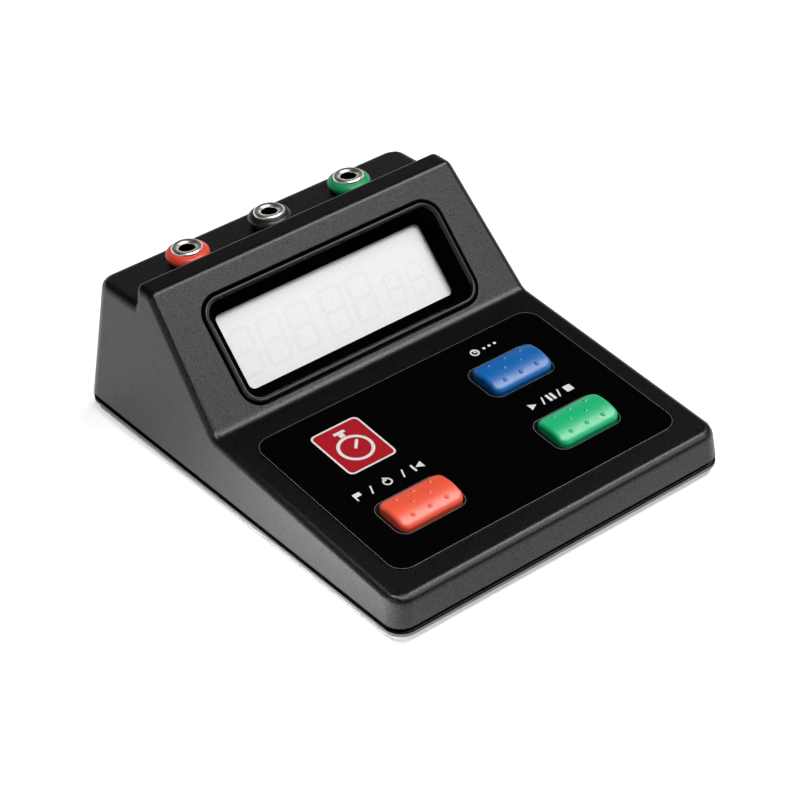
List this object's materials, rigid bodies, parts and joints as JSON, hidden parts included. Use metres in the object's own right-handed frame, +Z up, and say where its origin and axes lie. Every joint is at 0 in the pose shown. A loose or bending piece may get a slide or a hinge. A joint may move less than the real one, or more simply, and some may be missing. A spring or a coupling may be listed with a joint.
{
  "type": "digital stopwatch",
  "caption": "Bench-top digital stopwatch with a sloped case, recessed liquid crystal display, sprung push keys, rear sockets for test plugs and a sliding battery door.",
  "frame": {"origin": "under the middle of the case, on the surface it stands on", "axes": "+X to the user's right, +Y to the back, +Z up"},
  "size_m": [0.1, 0.127, 0.0466],
  "materials": {
    "case_plastic": "fine spark texture",
    "tray_plastic": "fine texture",
    "overlay_film": "gloss",
    "bezel_plastic": "gloss",
    "clear_pane": "clear",
    "display_glass": "satin",
    "contact_rubber": "matt",
    "circuit_board": "satin",
    "cable_plastic": "satin",
    "screw_steel": "plated",
    "foot_rubber": "matt",
    "chip_resin": "gloss",
    "crystal_can": "bright",
    "beeper_brass": "satin",
    "switch_plastic": "matt",
    "plunger_plastic": "matt",
    "blue_key_plastic": "satin",
    "green_key_plastic": "satin",
    "red_key_plastic": "satin",
    "red_collar_plastic": "gloss",
    "black_collar_plastic": "gloss",
    "green_collar_plastic": "gloss",
    "plated_brass": "nickel plated",
    "cell_jacket": "satin",
    "contact_steel": "plated"
  },
  "bodies": {
    "case": {"top_case": "case_plastic", "base_tray": "tray_plastic", "panel_overlay": "overlay_film", "display_bezel": "bezel_plastic", "display_window": "clear_pane", "lcd_glass": "display_glass", "zebra_strips": "contact_rubber", "display_board": "circuit_board", "switch_board": "circuit_board", "ribbon_cable": "cable_plastic", "case_screws": "screw_steel", "board_screws": "screw_steel", "rubber_feet": "foot_rubber", "timer_chip": "chip_resin", "quartz_crystal": "crystal_can", "sounder_disc": "beeper_brass", "socket_tags": "beeper_brass", "blue_switch": "switch_plastic", "green_switch": "switch_plastic", "red_switch": "switch_plastic", "red_socket_collar": "red_collar_plastic", "black_socket_collar": "black_collar_plastic", "socket_washers": "black_collar_plastic", "green_socket_collar": "green_collar_plastic", "red_socket_tube": "plated_brass", "black_socket_tube": "plated_brass", "green_socket_tube": "plated_brass", "socket_nuts": "plated_brass", "battery_cell": "cell_jacket", "battery_plate": "contact_steel", "battery_spring": "contact_steel"},
    "blue_key": {"blue_button": "blue_key_plastic", "blue_plunger": "plunger_plastic"},
    "green_key": {"green_button": "green_key_plastic", "green_plunger": "plunger_plastic"},
    "red_key": {"red_button": "red_key_plastic", "red_plunger": "plunger_plastic"},
    "door": {"battery_door": "tray_plastic"}
  },
  "joints": [
    {"name": "blue_press", "type": "slide", "parent": "case", "child": "blue_key", "axis": [0, 0.0889, -0.996], "range_m": [0, 0.0008], "stiffness_N_per_m": 1500, "springref_m": -0.0002},
    {"name": "green_press", "type": "slide", "parent": "case", "child": "green_key", "axis": [0, 0.0889, -0.996], "range_m": [0, 0.0008], "stiffness_N_per_m": 1500, "springref_m": -0.0002},
    {"name": "red_press", "type": "slide", "parent": "case", "child": "red_key", "axis": [0, 0.0889, -0.996], "range_m": [0, 0.0008], "stiffness_N_per_m": 1500, "springref_m": -0.0002},
    {"name": "door_slide", "type": "slide", "parent": "case", "child": "door", "axis": [0, 1, 0], "range_m": [0, 0.018]}
  ]
}
